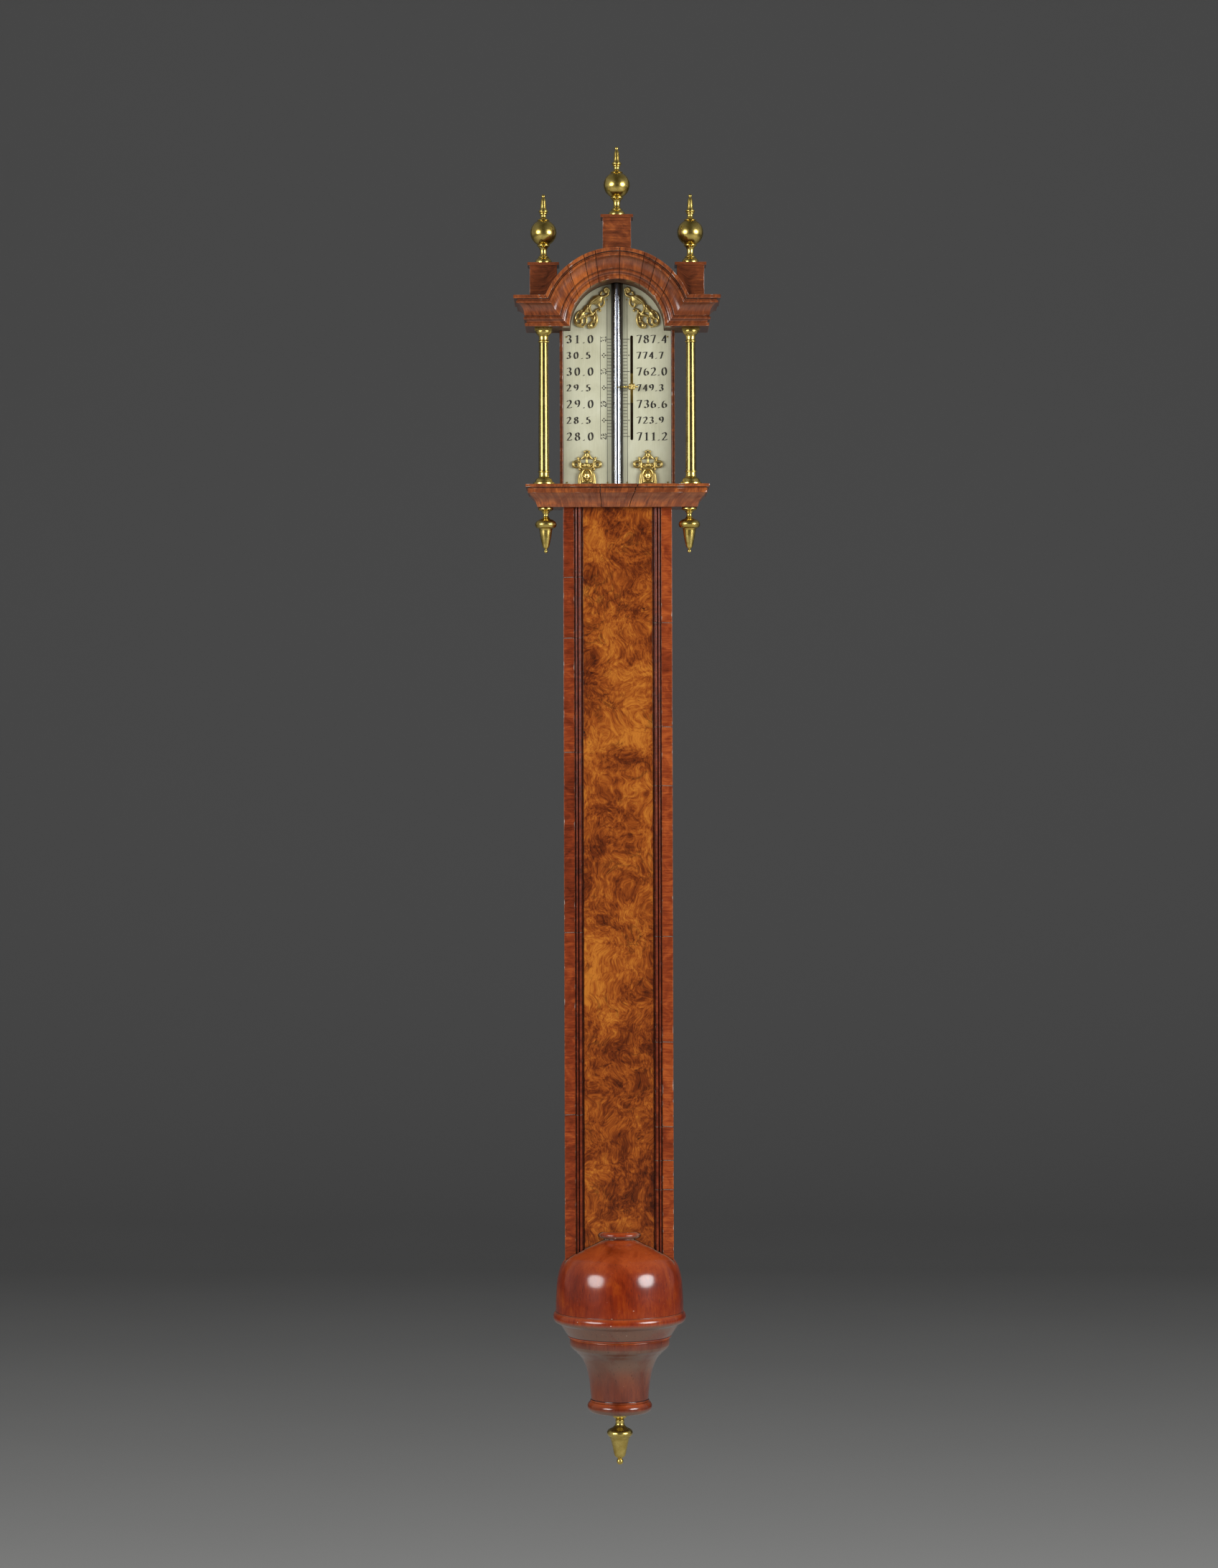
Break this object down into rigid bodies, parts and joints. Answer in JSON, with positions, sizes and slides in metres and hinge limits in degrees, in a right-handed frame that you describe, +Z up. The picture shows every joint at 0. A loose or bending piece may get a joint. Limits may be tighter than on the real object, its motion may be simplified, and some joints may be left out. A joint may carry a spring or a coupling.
{
  "type": "stick barometer",
  "caption": "Wall-hung stick barometer: walnut case, arched hood on brass columns, silvered register with sliding index, mercury tube and turned cistern cover with portable screw.",
  "frame": {"origin": "middle of the hanging hole, on the plane of the wall", "axes": "+Z up along the case, +Y into the wall so the front faces -Y, +X to the viewer's right"},
  "size_m": [0.1604, 0.0689, 1.0303],
  "materials": {
    "walnut": "polished crossgrain walnut",
    "burr_walnut": "polished burr walnut",
    "turned_walnut": "polished turned walnut",
    "carcass_oak": "plain oak",
    "brass": "polished brass with patina",
    "gilt_brass": "gilt cast brass",
    "silvered_brass": "silvered brass",
    "glass": "clear drawn glass",
    "mercury": "liquid metal",
    "boxwood": "turned boxwood",
    "leather": "soft sheepskin",
    "cord": "waxed thread",
    "steel": "bright steel"
  },
  "bodies": {
    "case": {"trunk_stile_left": "walnut", "trunk_stile_right": "walnut", "trunk_bead_left": "walnut", "trunk_bead_right": "walnut", "hood_base": "walnut", "arch_moulding": "walnut", "cornice_left": "walnut", "cornice_right": "walnut", "plinth_left": "walnut", "plinth_right": "walnut", "plinth_centre": "walnut", "plinth_cap_left": "walnut", "plinth_cap_right": "walnut", "plinth_cap_centre": "walnut", "register_slip_left": "walnut", "register_slip_right": "walnut", "trunk_panel": "burr_walnut", "cover_dome": "turned_walnut", "cover_cup": "turned_walnut", "backboard": "carcass_oak", "hood_carcass": "carcass_oak", "tube_blocks": "carcass_oak", "hanging_plate": "brass", "hanging_screws": "brass", "finial_left": "brass", "finial_right": "brass", "finial_centre": "brass", "column_base_left": "brass", "column_base_right": "brass", "column_shaft_left": "brass", "column_shaft_right": "brass", "column_capital_left": "brass", "column_capital_right": "brass", "pendant_left": "brass", "pendant_right": "brass", "register_pins": "brass", "screw_bush": "brass", "spandrel_left": "gilt_brass", "spandrel_right": "gilt_brass", "mask_mount_left": "gilt_brass", "mask_mount_right": "gilt_brass", "register_plate_left": "silvered_brass", "register_plate_right": "silvered_brass", "glass_tube": "glass", "mercury_column": "mercury", "mercury_pool": "mercury", "cistern_body": "boxwood", "cistern_lid": "boxwood", "cistern_leather": "leather", "tube_gasket": "leather", "leather_binding": "cord", "cover_screws": "steel"},
    "index": {"index_slider": "brass", "index_spring": "brass", "index_pointer": "brass", "index_boss": "brass"},
    "mercury_top": {"mercury_meniscus": "mercury"},
    "press_pad": {"press_pad": "boxwood"},
    "portable_screw": {"portable_screw": "steel", "screw_knob": "brass"}
  },
  "joints": [
    {"name": "index_slide", "type": "slide", "parent": "case", "child": "index", "axis": [0, 0, 1], "range_m": [-0.0381, 0.0381]},
    {"name": "mercury_level", "type": "slide", "parent": "case", "child": "mercury_top", "axis": [0, 0, 1], "range_m": [-0.1324, 0], "deforming": ["mercury_column"]},
    {"name": "pad_lift", "type": "slide", "parent": "case", "child": "press_pad", "axis": [0, 0, 1], "range_m": [-0.0075, 0]},
    {"name": "screw_turn", "type": "hinge", "parent": "press_pad", "child": "portable_screw", "pos_m": [0, -0.017, -0.87], "axis": [0, 0, 1], "range_deg": [-1800, 0]}
  ],
  "couplings": [
    {"joint": "screw_turn", "follows": "pad_lift", "rad_per_m": 4188.8}
  ]
}
